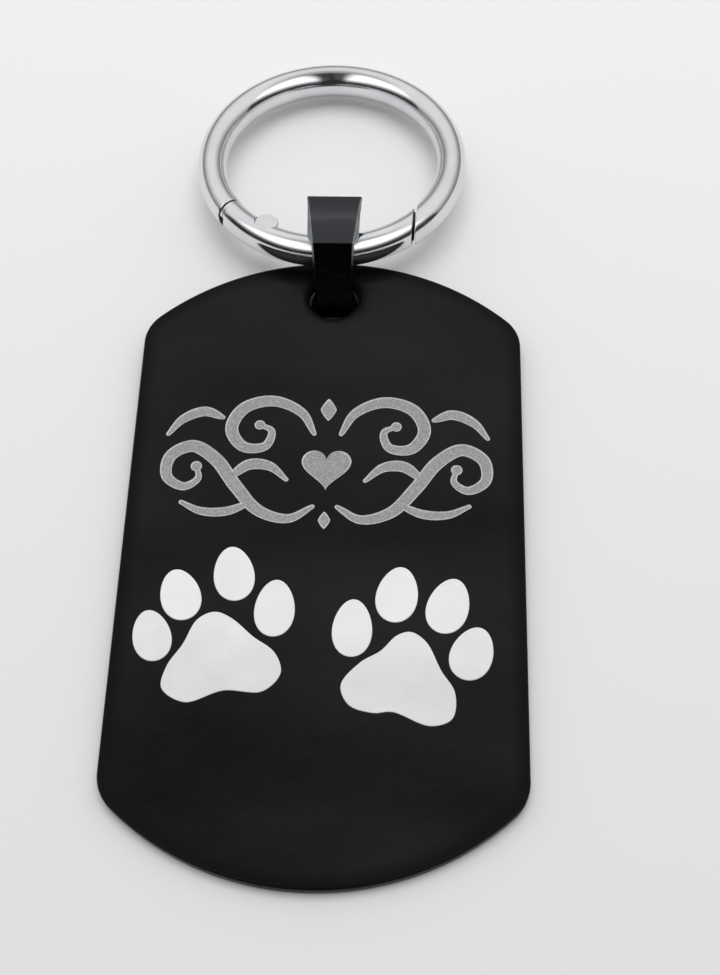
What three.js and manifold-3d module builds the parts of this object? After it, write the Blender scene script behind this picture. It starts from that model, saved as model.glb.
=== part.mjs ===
// Military-style pet tag: an engraved plate with white enamel paw prints, a folded bail through its
// hole, and a sprung gate ring in the bail.
// Millimetres, +Z up. The plate lies flat with the centre of its back on the origin and its hole end
// towards +Y. The ring lies behind the plate, with its near side over the plate's edge.
import * as THREE from "three";
import { mergeVertices } from "three/addons/utils/BufferGeometryUtils.js";
import Module from "manifold-3d";

const wasm = await Module();
wasm.setup();

// Plate
const PLATE_LENGTH = 49.5;
const PLATE_WIDTH = 29;
const PLATE_THICKNESS = 1;
const PLATE_END_RADIUS = 20;
const PLATE_CORNER_RADIUS = 3.2;
const PLATE_EDGE_ROUND = 0.25;
const HOLE_DIAMETER = 3.8;
const HOLE_BRIDGE = 1.45;

// White enamel in shallow pockets of the plate's front
const ENAMEL_DEPTH = 0.3;
const ENAMEL_GAP = 0.02;
const TOE_TAPER = 0.13;

// The prints are drawn for a plate 29 mm wide, and grow with the plate's width. Each toe is an egg: centre,
// width, length and the lean of its narrow end to the left, in degrees. Each pad is a smooth closed curve
// through its points.
const PRINT_SCALE = PLATE_WIDTH / 29;
const PAWS = {
  paw_left: {
    toes: [
      { centre: [-11.65, -7.3], width: 2.75, length: 3.95, lean: 10 },
      { centre: [-9.9, -4.15], width: 2.9, length: 4.05, lean: 14 },
      { centre: [-6.25, -2.45], width: 2.95, length: 4.3, lean: 7 },
      { centre: [-3.2, -5.05], width: 2.9, length: 4.4, lean: -2 },
    ],
    pad: [
      [-7.4, -5.4],
      [-6.2, -5.85],
      [-4.6, -7.2],
      [-3, -8.4],
      [-2.5, -9.9],
      [-3.7, -11.3],
      [-6.4, -11.3],
      [-9, -12.2],
      [-10.7, -11.2],
      [-10.5, -9.6],
      [-9.5, -7.9],
      [-8.6, -6],
    ],
  },
  paw_right: {
    toes: [
      { centre: [2.3, -6.45], width: 2.85, length: 4.4, lean: -2 },
      { centre: [5.4, -3.85], width: 3, length: 4.35, lean: -9 },
      { centre: [9, -4.65], width: 3, length: 4.35, lean: -16 },
      { centre: [10.65, -8.2], width: 3, length: 4.1, lean: -19 },
    ],
    pad: [
      [6.4, -6.65],
      [7.5, -7.4],
      [8.55, -9.5],
      [9.5, -11.1],
      [9.3, -13],
      [7.8, -13.55],
      [5.2, -12.6],
      [3.9, -12.7],
      [2.2, -12.15],
      [1.6, -10.7],
      [2.9, -9],
      [4.3, -8.1],
      [5.4, -6.95],
    ],
  },
};

// Ring: an oval tube bent into a circle, split into a body and a gate
const RING_RADIUS = 9.76;
const TUBE_RADIAL = 2.36;
const TUBE_AXIAL = 2.8;
const RING_TILT = 6;
const RING_SIDE_OFFSET = -0.57;
const RING_SETBACK = 0.25;
const RING_GAP = 0.03;
const GATE_STEP = 0.06;
const GATE_SEAM_ANGLE = 217;
const GATE_SEAM_GAP = 0.12;
const GATE_TIP_X = 6.5;
const GATE_TIP_SLOPE = 0.065;
const GATE_TIP_GAP = 0.25;

// Gate hinge and spring
const PIN_ANGLE = 238;
const PIN_INSET = 0.66;
const PIN_DIAMETER = 0.8;
const PIN_CLEARANCE = 0.03;
const PIN_HEAD_DIAMETER = 1.24;
const PIN_HEAD_RIM = 0.06;
const PIN_HEAD_TAPER = 0.2;
const BOSS_DIAMETER = 1.9;
const BOSS_HEIGHT = 2;
const CHANNEL_WIDTH = 1.24;
const CHANNEL_WALL = 0.75;
const CHANNEL_LENGTH = 2.6;
const TONGUE_THICKNESS = 0.54;
const TONGUE_CLEARANCE = 0.04;
const TONGUE_BACK_GAP = 0.1;
const TONGUE_HEIGHT = 1.2;
const TONGUE_EYE_DIAMETER = 1.5;
const TONGUE_ROOT_HEIGHT = 0.45;
const TONGUE_ROOT_LENGTH = 1.3;
const SPRING_WIRE = 0.24;
const SPRING_CLEARANCE = 0.03;
const SPRING_REACH = 2.1;

// Bail: a band bent into a four-sided loop round the plate's bridge and the ring's tube
const BAIL_THICKNESS = 0.48;
const BAIL_GAP = 0.05;
const BAIL_PIVOT_INSET = 0.71;
const BAIL_HEADROOM = 0.74;
const BAIL_FRONT_ROOM = 0.17;
const BAIL_WAIST_WIDTH = 1.8;
const BAIL_WAIST_LENGTH = 1;
const BAIL_FOOT_WIDTH = 2.7;
const BAIL_CREASE_WIDTH = 3.25;
const BAIL_TOP_WIDTH = 4.35;
const BAIL_FRONT_ANGLE = 151;
const BAIL_TOP_ANGLE = 92;
const BAIL_BACK_ANGLE = -19;
const BAIL_TOE_ROUND = 0.8;
const BAIL_CREASE_ROUND = 0.15;
const BAIL_TOP_ROUND = 0.25;
const BAIL_HEEL_ROUND = 1.8;

// Facet counts
const RING_SEGMENTS = 72;
const TUBE_SEGMENTS = 18;
const HOLE_SEGMENTS = 32;
const PIN_SEGMENTS = 16;
const BOSS_SEGMENTS = 24;
const END_ARC_SEGMENTS = 24;
const CORNER_SEGMENTS = 6;
const EDGE_SEGMENTS = 2;
const TOE_SEGMENTS = 24;
const PAD_SEGMENTS = 48;
const FILLET_SEGMENTS = 6;
const WIRE_SEGMENTS = 8;
const SPRING_STEPS = 12;

// Longer than any piece, for cutters that pass right through
const THROUGH = 4 * RING_RADIUS;

// Places that several pieces share, in the plate's YZ plane. The bail swings about a point in the bridge,
// the strip of plate between the hole and the edge. Its band clears the bridge's hole side and the
// ring's tube clears the plate's edge at every angle.
const HOLE_Y = PLATE_LENGTH / 2 - HOLE_BRIDGE - HOLE_DIAMETER / 2;
const BRIDGE_LOW = HOLE_Y + Math.sqrt((HOLE_DIAMETER / 2) ** 2 - (BAIL_WAIST_WIDTH / 2) ** 2);
const BAIL_PIVOT = new THREE.Vector2(BRIDGE_LOW + BAIL_PIVOT_INSET, PLATE_THICKNESS / 2);
const BAND_SWING = swingRadius(BAIL_PIVOT_INSET);
const EDGE_SWING = swingRadius(PLATE_LENGTH / 2 - BAIL_PIVOT.x);
const TUBE_LARGEST = Math.max(TUBE_RADIAL, TUBE_AXIAL) / 2;
const SEAT_ARM = EDGE_SWING + TUBE_LARGEST + RING_GAP;
const SEAT_Y = PLATE_LENGTH / 2 - RING_SETBACK;
const TUBE_SEAT = new THREE.Vector2(
  SEAT_Y,
  BAIL_PIVOT.y + Math.sqrt(SEAT_ARM ** 2 - (SEAT_Y - BAIL_PIVOT.x) ** 2),
);

const MATERIALS = {
  coatedSteel: { color: 0x17181a, roughness: 0.35, metalness: 0.6 },
  coatedBail: { color: 0x14161c, roughness: 0.25, metalness: 0.7 },
  chrome: { color: 0xd9dadc, roughness: 0.1, metalness: 1 },
  springSteel: { color: 0x9a9ca0, roughness: 0.35, metalness: 1 },
  whiteEnamel: { color: 0xf0f0ee, roughness: 0.4, metalness: 0 },
};

// How far the plate's rounded edge reaches from a point at mid thickness, a given distance from it
function swingRadius(distance) {
  return Math.hypot(distance - PLATE_EDGE_ROUND, PLATE_THICKNESS / 2 - PLATE_EDGE_ROUND) + PLATE_EDGE_ROUND;
}

// Solids: closed geometry to a solid that can be joined and cut, and back to a mesh

function solidOf(geometry) {
  const bare = geometry.index ? geometry.toNonIndexed() : geometry.clone();
  bare.deleteAttribute("normal");
  bare.deleteAttribute("uv");
  const merged = mergeVertices(bare, 1e-4);
  const triVerts = new Uint32Array(merged.index.array);
  return new wasm.Manifold(
    new wasm.Mesh({ numProp: 3, vertProperties: merged.attributes.position.array, triVerts }),
  );
}

function meshOf(name, solid, material) {
  const data = solid.getMesh();
  const geometry = new THREE.BufferGeometry();
  geometry.setAttribute("position", new THREE.BufferAttribute(data.vertProperties, 3));
  geometry.setIndex(new THREE.BufferAttribute(data.triVerts, 1));
  const flat = geometry.toNonIndexed();
  flat.computeVertexNormals();
  const mesh = new THREE.Mesh(flat, new THREE.MeshStandardMaterial(MATERIALS[material]));
  mesh.name = name;
  return mesh;
}

// A prism of a flat shape between two heights
function prism(shape, low, high) {
  const geometry = new THREE.ExtrudeGeometry(shape, { depth: high - low, bevelEnabled: false });
  return solidOf(geometry.translate(0, 0, low));
}

function cylinder(centre, diameter, low, high, segments) {
  const circle = arcPoints(centre.x, centre.y, diameter / 2, 0, 2 * Math.PI, segments).slice(1);
  return prism(new THREE.Shape(circle), low, high);
}

// Flat curves

function radians(degrees) {
  return THREE.MathUtils.degToRad(degrees);
}

function arcPoints(x, y, radius, from, to, segments) {
  const points = [];
  for (let i = 0; i <= segments; i++) {
    const angle = from + ((to - from) * i) / segments;
    points.push(new THREE.Vector2(x + radius * Math.cos(angle), y + radius * Math.sin(angle)));
  }
  return points;
}

function polar(radius, degrees) {
  return new THREE.Vector2(radius, 0).rotateAround(new THREE.Vector2(), radians(degrees));
}

// A polygon given by its sides: each has an outward normal in degrees and a distance from an anchor.
function cornersOf(sides, grow) {
  return sides.map((side, i) => {
    const next = sides[(i + 1) % sides.length];
    const [a, b] = [side, next].map((s) => {
      const normal = polar(1, s.normal);
      return { normal, reach: normal.dot(s.anchor) + s.distance + grow };
    });
    const cross = a.normal.cross(b.normal);
    return new THREE.Vector2(
      (a.reach * b.normal.y - b.reach * a.normal.y) / cross,
      (a.normal.x * b.reach - b.normal.x * a.reach) / cross,
    );
  });
}

// The same polygon with each corner replaced by an arc
function roundedPoints(corners, radii) {
  return corners.flatMap((corner, i) => {
    const before = corners.at(i - 1).clone().sub(corner).normalize();
    const after = corners[(i + 1) % corners.length].clone().sub(corner).normalize();
    const half = Math.acos(THREE.MathUtils.clamp(before.dot(after), -1, 1)) / 2;
    const middle = before.clone().add(after).normalize();
    const centre = corner.clone().addScaledVector(middle, radii[i] / Math.sin(half));
    const start = corner.clone().addScaledVector(before, radii[i] / Math.tan(half)).sub(centre);
    const end = corner.clone().addScaledVector(after, radii[i] / Math.tan(half)).sub(centre);
    const sweep = Math.atan2(start.cross(end), start.dot(end));
    return arcPoints(centre.x, centre.y, radii[i], start.angle(), start.angle() + sweep, FILLET_SEGMENTS);
  });
}

// Plate

function plateOutline() {
  const endY = PLATE_LENGTH / 2 - PLATE_END_RADIUS;
  const cornerX = PLATE_WIDTH / 2 - PLATE_CORNER_RADIUS;
  const rise = Math.sqrt((PLATE_END_RADIUS - PLATE_CORNER_RADIUS) ** 2 - cornerX ** 2);
  const meet = Math.atan2(rise, cornerX);
  const quarter = arcPoints(cornerX, endY + rise, PLATE_CORNER_RADIUS, 0, meet, CORNER_SEGMENTS);
  const end = arcPoints(0, endY, PLATE_END_RADIUS, meet, Math.PI - meet, END_ARC_SEGMENTS).slice(1, -1);
  const otherQuarter = quarter.map((p) => new THREE.Vector2(-p.x, p.y)).reverse();
  const upper = [...quarter, ...end, ...otherQuarter];
  const lower = upper.map((p) => new THREE.Vector2(-p.x, -p.y));
  return [...upper, ...lower];
}

function plateSolid(pockets) {
  const shape = new THREE.Shape(plateOutline());
  const hole = arcPoints(0, HOLE_Y, HOLE_DIAMETER / 2, 0, 2 * Math.PI, HOLE_SEGMENTS).slice(1);
  shape.holes.push(new THREE.Path(hole));
  const geometry = new THREE.ExtrudeGeometry(shape, {
    depth: PLATE_THICKNESS - 2 * PLATE_EDGE_ROUND,
    bevelThickness: PLATE_EDGE_ROUND,
    bevelSize: PLATE_EDGE_ROUND,
    bevelOffset: -PLATE_EDGE_ROUND,
    bevelSegments: EDGE_SEGMENTS,
  });
  const blank = solidOf(geometry.translate(0, 0, PLATE_EDGE_ROUND));
  return pockets.reduce((plate, pocket) => plate.subtract(pocket), blank);
}

// Enamel paw prints

function toeShape(toe, inset) {
  const middle = new THREE.Vector2();
  const centre = new THREE.Vector2(...toe.centre).multiplyScalar(PRINT_SCALE);
  const [width, length] = [toe.width * PRINT_SCALE, toe.length * PRINT_SCALE];
  const lean = radians(toe.lean);
  const points = [];
  for (let i = 0; i < TOE_SEGMENTS; i++) {
    const angle = (2 * Math.PI * i) / TOE_SEGMENTS;
    const across = (width / 2 - inset) * Math.cos(angle) * (1 - TOE_TAPER * Math.sin(angle));
    const along = (length / 2 - inset) * Math.sin(angle);
    points.push(new THREE.Vector2(across, along).rotateAround(middle, lean).add(centre));
  }
  return new THREE.Shape(points);
}

function padShape(points, inset) {
  const corners = points.map(([x, y]) => new THREE.Vector3(x, y, 0).multiplyScalar(PRINT_SCALE));
  const curve = new THREE.CatmullRomCurve3(corners, true);
  const outline = [];
  for (let i = 0; i < PAD_SEGMENTS; i++) {
    const at = i / PAD_SEGMENTS;
    const tangent = curve.getTangentAt(at);
    const inward = new THREE.Vector3(tangent.y, -tangent.x, 0);
    outline.push(curve.getPointAt(at).addScaledVector(inward, inset));
  }
  return new THREE.Shape(outline.map((p) => new THREE.Vector2(p.x, p.y)));
}

// One entry for each print: its name and its outline, drawn in by an inset
function enamelPrints() {
  return Object.entries(PAWS).flatMap(([paw, { toes, pad }]) => [
    { name: `${paw}_pad`, outline: (inset) => padShape(pad, inset) },
    ...toes.map((toe, i) => ({ name: `${paw}_toe_${i + 1}`, outline: (inset) => toeShape(toe, inset) })),
  ]);
}

function enamelPocket(print) {
  return prism(print.outline(0), PLATE_THICKNESS - ENAMEL_DEPTH, 2 * PLATE_THICKNESS);
}

function enamelSolid(print) {
  return prism(print.outline(ENAMEL_GAP), PLATE_THICKNESS - ENAMEL_DEPTH + ENAMEL_GAP, PLATE_THICKNESS);
}

// Bail

// How far the ring's curved tube bows from a straight line across a band of a given width
function tubeBow(width) {
  return RING_RADIUS - Math.sqrt(RING_RADIUS ** 2 - (width / 2 + Math.abs(RING_SIDE_OFFSET)) ** 2);
}

function bailSides() {
  const tubeRoom = TUBE_LARGEST + BAIL_GAP;
  const frontRoom = tubeBow(BAIL_CREASE_WIDTH) + BAIL_FRONT_ROOM;
  return [
    { normal: -90, anchor: BAIL_PIVOT, distance: BAND_SWING + BAIL_GAP },
    { normal: BAIL_BACK_ANGLE, anchor: TUBE_SEAT, distance: tubeRoom + tubeBow(BAIL_TOP_WIDTH) },
    { normal: BAIL_TOP_ANGLE, anchor: TUBE_SEAT, distance: tubeRoom + BAIL_HEADROOM },
    { normal: BAIL_FRONT_ANGLE, anchor: TUBE_SEAT, distance: tubeRoom + frontRoom },
  ];
}

// A flat shape, even about its middle, through the given places and widths
function taperShape(stops) {
  const side = stops.map(([place, width]) => new THREE.Vector2(width / 2, place));
  const otherSide = side.map((p) => new THREE.Vector2(-p.x, p.y)).reverse();
  return new THREE.Shape([...side, ...otherSide]);
}

function bailLoop(outerCorners, innerCorners) {
  const outerRounds = [BAIL_HEEL_ROUND, BAIL_TOP_ROUND, BAIL_CREASE_ROUND, BAIL_TOE_ROUND];
  const innerRounds = outerRounds.map((r) => Math.max(r - BAIL_THICKNESS, BAIL_CREASE_ROUND));
  const loop = new THREE.Shape(roundedPoints(outerCorners, outerRounds));
  loop.holes.push(new THREE.Path(roundedPoints(innerCorners, innerRounds)));
  const band = new THREE.ExtrudeGeometry(loop, { depth: BAIL_TOP_WIDTH, bevelEnabled: false });
  // The loop is drawn in Y and Z, so its extrusion is turned to run along X.
  return solidOf(band.translate(0, 0, -BAIL_TOP_WIDTH / 2).rotateX(Math.PI / 2).rotateZ(Math.PI / 2));
}

// The band narrows from the top of the loop down both legs, and to a waist where it passes the bridge.
function bailSolid() {
  const sides = bailSides();
  const outerCorners = cornersOf(sides, BAIL_THICKNESS);
  const innerCorners = cornersOf(sides, 0);
  const [heel, top, crease, toe] = outerCorners;
  const [innerHeel, , , innerToe] = innerCorners;
  const floor = innerToe.y;
  const legsFromAbove = taperShape([
    [toe.x, BAIL_FOOT_WIDTH],
    [innerToe.x, BAIL_FOOT_WIDTH],
    [crease.x, BAIL_CREASE_WIDTH],
    [top.x, BAIL_TOP_WIDTH],
  ]);
  const footFromAbove = taperShape([
    [toe.x, BAIL_FOOT_WIDTH],
    [innerToe.x, BAIL_FOOT_WIDTH],
    [BAIL_PIVOT.x - BAIL_WAIST_LENGTH / 2, BAIL_WAIST_WIDTH],
    [BAIL_PIVOT.x + BAIL_WAIST_LENGTH / 2, BAIL_WAIST_WIDTH],
    [innerHeel.x, BAIL_FOOT_WIDTH],
    [heel.x, BAIL_FOOT_WIDTH],
  ]);
  const fromBehind = taperShape([
    [-THROUGH, BAIL_FOOT_WIDTH],
    [floor, BAIL_FOOT_WIDTH],
    [top.y, BAIL_TOP_WIDTH],
  ]);
  const behind = new THREE.ExtrudeGeometry(fromBehind, { depth: 2 * THROUGH, bevelEnabled: false });
  const foot = prism(footFromAbove, -THROUGH, floor + BAIL_THICKNESS / 2);
  return bailLoop(outerCorners, innerCorners)
    .intersect(prism(legsFromAbove, floor, THROUGH).add(foot))
    .intersect(solidOf(behind.translate(0, 0, -THROUGH).rotateX(Math.PI / 2)));
}

// Ring, in its own frame: centre on the origin, axis along Z, near side towards -Y

function tubeRing(radial, axial) {
  const profile = [];
  for (let i = 0; i <= TUBE_SEGMENTS; i++) {
    const angle = (2 * Math.PI * (i % TUBE_SEGMENTS)) / TUBE_SEGMENTS;
    profile.push(
      new THREE.Vector2(RING_RADIUS + (radial / 2) * Math.cos(angle), (axial / 2) * Math.sin(angle)),
    );
  }
  return solidOf(new THREE.LatheGeometry(profile, RING_SEGMENTS).rotateX(Math.PI / 2));
}

// The part of the ring's plane that the gate takes up, grown at its two ends
function gateSector(seamGrow, tipGrow) {
  const seam = polar(1, GATE_SEAM_ANGLE);
  const shift = new THREE.Vector2(seam.y, -seam.x).multiplyScalar(seamGrow);
  const tipAt = (y) => new THREE.Vector2(GATE_TIP_X + GATE_TIP_SLOPE * (y + RING_RADIUS) + tipGrow, y);
  return new THREE.Shape([
    seam.clone().multiplyScalar(INSIDE_RADIUS).add(shift),
    seam.clone().multiplyScalar(THROUGH).add(shift),
    tipAt(-THROUGH),
    tipAt(-INSIDE_RADIUS / 2),
  ]);
}

const PIN_CENTRE = polar(RING_RADIUS - PIN_INSET, PIN_ANGLE);
const INSIDE_RADIUS = RING_RADIUS - TUBE_RADIAL - BOSS_DIAMETER;
const CHANNEL_OUTER = RING_RADIUS + TUBE_RADIAL / 2 - CHANNEL_WALL;
const TONGUE_OUTER = CHANNEL_OUTER - TONGUE_BACK_GAP;

// The angle, in degrees, that a length spans along the ring
function spanOf(length) {
  return THREE.MathUtils.radToDeg(length / RING_RADIUS);
}

// A stretch of the ring between two radii and two angles in degrees
function ringStretch(inner, outer, from, to) {
  const [start, end] = [radians(from), radians(to)];
  return new THREE.Shape([
    ...arcPoints(0, 0, outer, start, end, CORNER_SEGMENTS),
    ...arcPoints(0, 0, inner, end, start, CORNER_SEGMENTS),
  ]);
}

// A rivet with a countersunk head at each end, flush with the gate's boss, or its hole with a clearance
function rivetSolid(clearance) {
  const radius = PIN_DIAMETER / 2 + clearance;
  const headRadius = PIN_HEAD_DIAMETER / 2 + clearance;
  const rim = BOSS_HEIGHT / 2 - PIN_HEAD_RIM;
  const upper = [
    [radius, rim - PIN_HEAD_TAPER],
    [headRadius, rim],
    [headRadius, BOSS_HEIGHT / 2 + clearance],
    [0, BOSS_HEIGHT / 2 + clearance],
  ];
  const lower = upper.map(([r, z]) => [r, -z]).reverse();
  const profile = [...lower, ...upper].map(([r, z]) => new THREE.Vector2(r, z));
  const lathe = new THREE.LatheGeometry(profile, PIN_SEGMENTS).rotateX(Math.PI / 2);
  return solidOf(lathe.translate(PIN_CENTRE.x, PIN_CENTRE.y, 0));
}

// The body's tongue: a thin lug with an eye round the pin, and a thicker root for the spring to press on
function tongueSolid() {
  const low = TONGUE_CLEARANCE - CHANNEL_WIDTH / 2;
  const high = low + TONGUE_THICKNESS;
  const heel = GATE_SEAM_ANGLE - spanOf(TONGUE_ROOT_LENGTH);
  const rootEnd = GATE_SEAM_ANGLE + spanOf(TONGUE_ROOT_LENGTH);
  const lug = ringStretch(TONGUE_OUTER - TONGUE_HEIGHT, TONGUE_OUTER, heel, PIN_ANGLE);
  const root = ringStretch(TONGUE_OUTER - TONGUE_ROOT_HEIGHT, TONGUE_OUTER, heel, rootEnd);
  return prism(lug, low, high)
    .add(cylinder(PIN_CENTRE, TONGUE_EYE_DIAMETER, low, high, PIN_SEGMENTS))
    .add(prism(root, low, -low))
    .subtract(rivetSolid(PIN_CLEARANCE));
}

function ringBodySolid() {
  const gap = prism(gateSector(GATE_SEAM_GAP, GATE_TIP_GAP), -THROUGH, THROUGH);
  return tubeRing(TUBE_RADIAL, TUBE_AXIAL).subtract(gap).add(tongueSolid());
}

// The hollow in the gate for the tongue and the spring, open towards the ring's middle
function channelSolid() {
  const from = GATE_SEAM_ANGLE - spanOf(CHANNEL_WALL);
  const to = PIN_ANGLE + spanOf(CHANNEL_LENGTH);
  return prism(ringStretch(INSIDE_RADIUS, CHANNEL_OUTER, from, to), -CHANNEL_WIDTH / 2, CHANNEL_WIDTH / 2);
}

// The gate has a round boss on its inner edge, with a flat face for the pin cut into the tube above it.
function ringGateSolid() {
  const tube = tubeRing(TUBE_RADIAL - 2 * GATE_STEP, TUBE_AXIAL - 2 * GATE_STEP);
  const top = BOSS_HEIGHT / 2;
  return tube
    .intersect(prism(gateSector(0, 0), -THROUGH, THROUGH))
    .add(cylinder(PIN_CENTRE, BOSS_DIAMETER, -top, top, BOSS_SEGMENTS))
    .subtract(cylinder(PIN_CENTRE, BOSS_DIAMETER, top, TUBE_AXIAL, BOSS_SEGMENTS))
    .subtract(cylinder(PIN_CENTRE, BOSS_DIAMETER, -TUBE_AXIAL, -top, BOSS_SEGMENTS))
    .subtract(channelSolid())
    .subtract(rivetSolid(PIN_CLEARANCE));
}

// A bent wire: it bears on the pin, and its ends press the tongue's root and the gate's outer wall
function gateSpringSolid() {
  const off = SPRING_WIRE / 2 + SPRING_CLEARANCE;
  const high = CHANNEL_WIDTH / 2 - off;
  const stops = [
    polar(TONGUE_OUTER - TONGUE_ROOT_HEIGHT - off, GATE_SEAM_ANGLE + spanOf(TONGUE_ROOT_LENGTH / 2)),
    polar(RING_RADIUS - PIN_INSET + PIN_DIAMETER / 2 + off, PIN_ANGLE),
    polar(CHANNEL_OUTER - 2 * off, PIN_ANGLE + spanOf(SPRING_REACH)),
  ];
  const path = new THREE.CatmullRomCurve3(stops.map((p) => new THREE.Vector3(p.x, p.y, high)));
  const section = arcPoints(0, 0, SPRING_WIRE / 2, 0, 2 * Math.PI, WIRE_SEGMENTS).slice(1);
  return solidOf(
    new THREE.ExtrudeGeometry(new THREE.Shape(section), { steps: SPRING_STEPS, extrudePath: path }),
  );
}

// Assembly

function ringGroup() {
  const group = new THREE.Group();
  const reach = Math.sqrt(RING_RADIUS ** 2 - RING_SIDE_OFFSET ** 2);
  const tilt = radians(RING_TILT);
  group.rotation.x = -tilt;
  group.position.set(
    RING_SIDE_OFFSET,
    TUBE_SEAT.x + reach * Math.cos(tilt),
    TUBE_SEAT.y - reach * Math.sin(tilt),
  );
  group.add(
    meshOf("ring_body", ringBodySolid(), "chrome"),
    meshOf("ring_gate", ringGateSolid(), "chrome"),
    meshOf("gate_hinge_pin", rivetSolid(0), "chrome"),
    meshOf("gate_spring", gateSpringSolid(), "springSteel"),
  );
  return group;
}

const tag = new THREE.Group();
const prints = enamelPrints();
tag.add(meshOf("tag_plate", plateSolid(prints.map(enamelPocket)), "coatedSteel"));
prints.forEach((print) => tag.add(meshOf(print.name, enamelSolid(print), "whiteEnamel")));
tag.add(meshOf("bail_loop", bailSolid(), "coatedBail"));
tag.add(ringGroup());

export default tag;
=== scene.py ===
# Military-style pet tag: smooth metal, enamel prints and an engraved flourish, in a soft studio.
import math

import bmesh
import bpy
from mathutils import Matrix, Vector
from mathutils.geometry import delaunay_2d_cdt


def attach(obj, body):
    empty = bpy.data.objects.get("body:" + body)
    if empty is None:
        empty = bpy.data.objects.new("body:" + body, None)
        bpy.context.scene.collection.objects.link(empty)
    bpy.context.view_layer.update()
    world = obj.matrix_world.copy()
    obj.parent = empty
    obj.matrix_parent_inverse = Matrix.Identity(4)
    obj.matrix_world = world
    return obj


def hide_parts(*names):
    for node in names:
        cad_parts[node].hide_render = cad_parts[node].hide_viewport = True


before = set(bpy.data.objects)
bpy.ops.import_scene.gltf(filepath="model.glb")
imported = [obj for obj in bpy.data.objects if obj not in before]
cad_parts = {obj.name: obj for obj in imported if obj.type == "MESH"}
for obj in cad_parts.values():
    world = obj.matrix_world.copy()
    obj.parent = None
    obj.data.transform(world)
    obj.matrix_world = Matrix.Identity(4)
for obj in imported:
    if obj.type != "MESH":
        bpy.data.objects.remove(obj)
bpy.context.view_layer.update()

# Lengths are in millimetres, and are turned to metres when a piece or a material is made.
MM = 0.001
MERGE_DISTANCE = 1e-5
LEAST_KNOT_GAP = 1e-4

# Plate
PLATE_LENGTH = 49.5
PLATE_WIDTH = 29
PLATE_THICKNESS = 1
PLATE_END_RADIUS = 20
PLATE_CORNER_RADIUS = 3.2
PLATE_EDGE_ROUND = 0.25
# Widths of the painted shade along the plate's outline and around its hole
EDGE_SHADE_WIDTH = 1.6
HOLE_SHADE_WIDTH = 0.4
BORDER_DULLING = 0.2
COAT_GRAIN = 0.2
HOLE_RADIUS = 1.9
HOLE_Y = 21.4
FACE_COAT = 0
CUT_FLOOR = 1
CUT_WALL = 2

# Enamel prints: each toe has its centre, width, length and lean in degrees, and each pad its outline
ENAMEL_DEPTH = 0.3
ENAMEL_GAP = 0.02
ENAMEL_RIM = 0.06
ENAMEL_DISH = 0.025
DISH_HALFWAY = 0.18
DISH_FULL = 0.3
# Span along Y over which painted shade greys the enamel towards the plate's lower end
ENAMEL_SHADE_SPAN = (-12.5, -4)
TOE_TAPER = 0.13
TOES = {
    "paw_left": (
        ((-11.7, -7.3), 2.75, 3.95, 15),
        ((-9.95, -4.15), 2.9, 4.05, 17),
        ((-6.25, -2.45), 2.95, 4.3, 9),
        ((-3.2, -5.05), 2.9, 4.4, -2),
    ),
    "paw_right": (
        ((2.3, -6.45), 2.85, 4.4, -2),
        ((5.4, -3.85), 3, 4.35, -9),
        ((9, -4.65), 3, 4.35, -16),
        ((10.65, -8.2), 3, 4.1, -19),
    ),
}
PADS = {
    "paw_left": (
        (-7.4, -5.4), (-6.2, -5.85), (-4.6, -7.2), (-3, -8.4), (-2.5, -9.9), (-3.7, -11.3),
        (-6.4, -11.3), (-9, -12.2), (-10.7, -11.2), (-10.5, -9.6), (-9.5, -7.9), (-8.6, -6),
    ),
    "paw_right": (
        (6.4, -6.65), (7.5, -7.4), (8.55, -9.5), (9.5, -11.1), (9.3, -13), (7.8, -13.55), (5.2, -12.6),
        (3.9, -12.7), (2.2, -12.15), (1.6, -10.7), (2.9, -9), (4.3, -8.1), (5.4, -6.95),
    ),
}

# Engraved flourish: strokes of the right half, each with its middle line, widest half width and end ball
CUT_DEPTH = 0.08
CUT_RIM = 0.09
STROKES = (
    (((0.9, 3.0), (2.6, 2.0), (4.8, 2.6), (6.6, 4.6), (8.2, 6.8), (10.0, 7.9), (11.6, 7.0), (11.7, 5.3),
      (10.4, 4.5), (9.4, 5.2), (9.6, 6.2)), 0.52, 0.42),
    (((1.0, 9.1), (2.0, 10.9), (4.2, 11.9), (6.4, 11.2), (7.2, 9.4), (6.2, 7.9), (4.6, 8.0), (4.2, 9.3),
      (5.1, 9.8)), 0.5, 0.4),
    (((7.1, 5.3), (5.7, 6.4), (4.2, 6.3), (2.9, 5.2)), 0.45, 0),
    (((5.5, 3.2), (7.2, 2.5), (9.0, 2.5), (10.5, 3.2)), 0.36, 0),
    (((7.9, 10.4), (9.3, 10.9), (10.9, 10.2), (11.9, 8.9)), 0.42, 0),
)
STROKE_TIP = 0.17
STROKE_LEAST = 0.04
STROKE_SKEW = 0.75
HEART_CENTRE = (0, 6.3)
HEART_SIZE = 0.115
HEART_REACH = 14
LOZENGE_POWER = 1.6
LOZENGES = (((0, 11.2), 0.6, 0.95), ((0, 1.9), 0.45, 0.7))

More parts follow.
